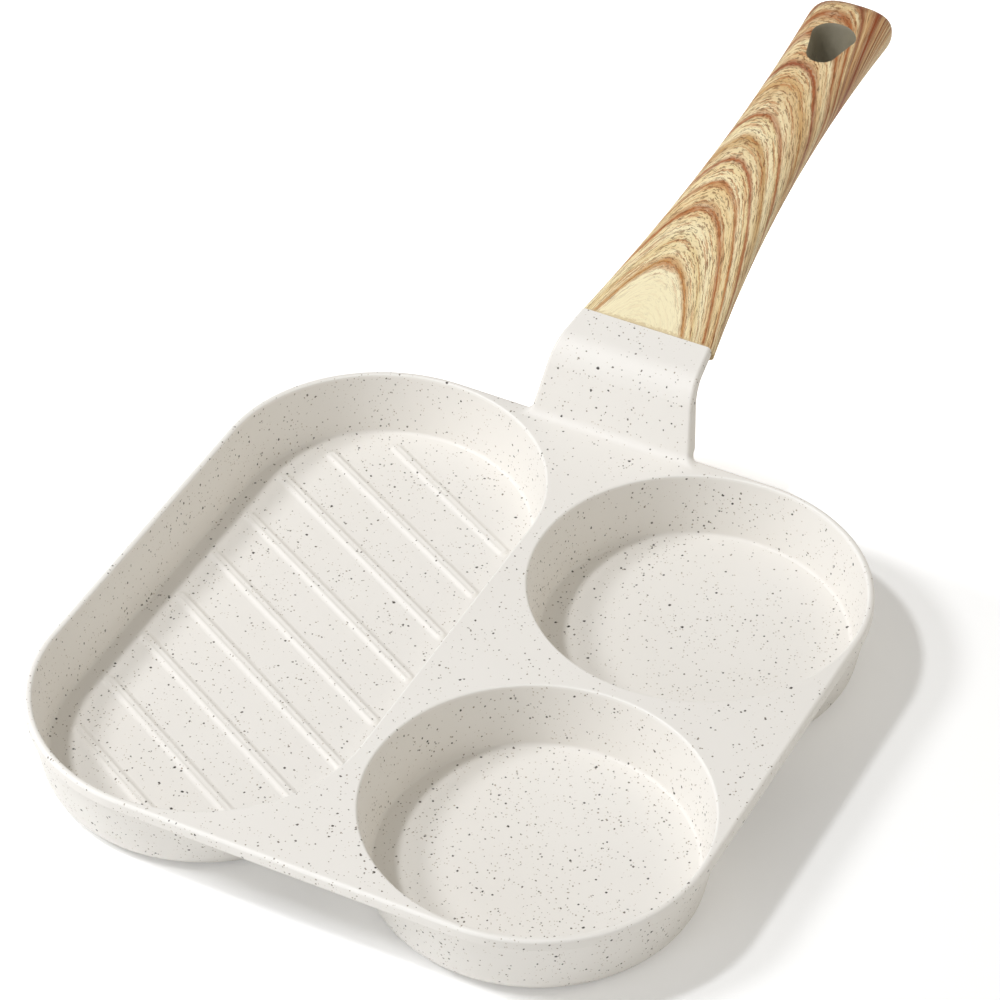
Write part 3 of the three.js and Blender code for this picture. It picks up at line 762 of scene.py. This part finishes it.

# White studio paper: it lifts to plain white for the camera and keeps the pan's shadow. Behind the pan it
# glows brighter still, painted light that wipes out the shadow of the neck and handle.
# Its fibres are drawn coarser than real ones, to show.
paper, tree = new_material("white studio paper")
fibre_size = 2 * MM
painted_light_from, painted_light_to = 20 * MM, 50 * MM
front_lift, rear_painted_light = 0.15, 0.75
coords = node(tree, "TexCoord", {})["Object"]
fibre = node(tree, "TexNoise", {"Vector": coords, "Scale": 1 / fibre_size, "Detail": 2})["Fac"]
tone = node(tree, "Mix", {0: fibre, 6: linear("#f3f3f2"), 7: linear("#f5f5f4")}, data_type="RGBA")[2]
matt = node(tree, "BsdfDiffuse", {"Color": tone})[0]
seen = node(tree, "LightPath", {})["Is Camera Ray"]
towards_rear = node(tree, "SeparateXYZ", {0: coords})[1]
# Behind the pan's rear edge the glow rises: painted light over the shadow of the neck and handle
lift_and_painted_light = node(tree, "MapRange", {"Value": towards_rear, "From Min": painted_light_from, "From Max": painted_light_to,
                               "To Min": front_lift, "To Max": rear_painted_light}, interpolation_type="SMOOTHSTEP")[0]
lift_and_painted_light = node(tree, "Math", {0: seen, 1: lift_and_painted_light}, operation="MULTIPLY")[0]
glow = node(tree, "Emission", {"Color": linear("#ffffff"), "Strength": lift_and_painted_light})[0]
node(tree, "OutputMaterial", {"Surface": node(tree, "AddShader", {0: matt, 1: glow})[0]})
floor.data.materials.append(paper)

room_light, room_strength = (1, 0.972, 0.925, 1), 0.35
world = bpy.data.worlds.new("studio")
bpy.context.scene.world = world
world.use_nodes = True
world.node_tree.nodes["Background"].inputs["Color"].default_value = room_light
world.node_tree.nodes["Background"].inputs["Strength"].default_value = room_strength

azimuth, elevation, roll = math.radians(26.33), math.radians(40.23), math.radians(0.79)
picture_right = Vector((math.cos(azimuth), math.sin(azimuth), 0))
picture_far = Vector((-math.sin(azimuth), math.cos(azimuth), 0))
lamp_distance = 2
cool, warm = (0.945, 0.962, 1), (1, 0.94, 0.83)
# Each lamp: degrees round from the picture's left towards its far side, degrees up, watts, width in metres
lamps = [("high lamp", 0, 60, 14.6, 0.2, cool), ("low lamp", 0, 44, 14, 0.4, cool),
         ("front softbox", -50, 14, 9.6, 1.4, cool), ("right softbox", 180, 30, 6.6, 1.4, warm)]
for name, turn, height, power, size, tint in lamps:
    turn, height = math.radians(turn), math.radians(height)
    flat = picture_far * math.sin(turn) - picture_right * math.cos(turn)
    way = flat * math.cos(height) + Vector((0, 0, math.sin(height)))
    bpy.ops.object.light_add(type="AREA", location=Vector((0, pan_y, 0)) + way * lamp_distance,
                             rotation=way.to_track_quat("Z", "Y").to_euler())
    lamp = bpy.context.object
    lamp.name, lamp.data.shape, lamp.data.size, lamp.data.energy = name, "DISK", size, power
    lamp.data.color = tint

camera_data = bpy.data.cameras.new("photo view")
camera_data.sensor_width = 36
camera_data.lens = 166.8
camera_data.clip_end = 20
camera = bpy.data.objects.new("photo view", camera_data)
bpy.context.collection.objects.link(camera)
camera_distance = 1.3186
target = Vector((-15.31, -29.13, 24)) * MM
back = Vector((0, 0, math.sin(elevation))) - picture_far * math.cos(elevation)
up = back.cross(picture_right)
side_way = picture_right * math.cos(roll) + up * math.sin(roll)
up_way = up * math.cos(roll) - picture_right * math.sin(roll)
aim = Matrix((side_way, up_way, back)).transposed().to_4x4()
camera.matrix_world = Matrix.Translation(target + back * camera_distance) @ aim
bpy.context.scene.camera = camera
bpy.context.scene.view_settings.view_transform = "Standard"
